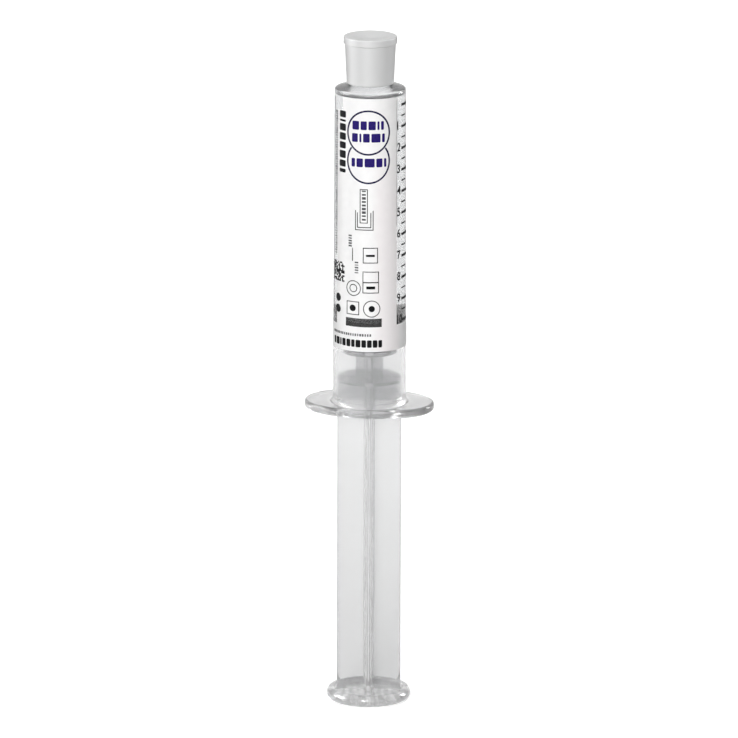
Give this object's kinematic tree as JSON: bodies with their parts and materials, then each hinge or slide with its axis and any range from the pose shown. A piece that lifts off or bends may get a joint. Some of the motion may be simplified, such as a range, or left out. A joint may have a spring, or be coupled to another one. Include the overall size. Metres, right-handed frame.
{
  "type": "prefilled syringe",
  "caption": "Capped, prefilled ten-millilitre syringe: clear barrel with locking tip and finger flange, rubber stopper and a cross-bladed plunger rod.",
  "frame": {"origin": "centre of the thumb rest's underside, on the surface that the syringe stands on", "axes": "+Z along the barrel towards the capped tip, +X to the right of the label's printed front, which faces -Y"},
  "size_m": [0.031, 0.0226, 0.1628],
  "materials": {
    "clear_barrel": "clear, glossy",
    "label_film": "satin film",
    "saline": "clear liquid",
    "white_cap": "glossy",
    "black_rubber": "satin",
    "clear_rod": "clear, glossy"
  },
  "bodies": {
    "barrel": {"barrel": "clear_barrel", "label": "label_film", "saline": "saline"},
    "stopper": {"stopper": "black_rubber"},
    "plunger_rod": {"plunger_rod": "clear_rod"},
    "tip_cap": {"tip_cap": "white_cap"}
  },
  "joints": [
    {"name": "plunger_slide", "type": "slide", "parent": "barrel", "child": "stopper", "axis": [0, 0, 1], "range_m": [-0.0035, 0.0523], "deforming": ["saline"]},
    {"name": "plunger_turn", "type": "hinge", "parent": "stopper", "child": "plunger_rod", "pos_m": [0, 0, 0], "axis": [0, 0, 1], "continuous": true},
    {"name": "cap_lift", "type": "slide", "parent": "barrel", "child": "tip_cap", "axis": [0, 0, 1], "range_m": [0, 0.015]}
  ]
}
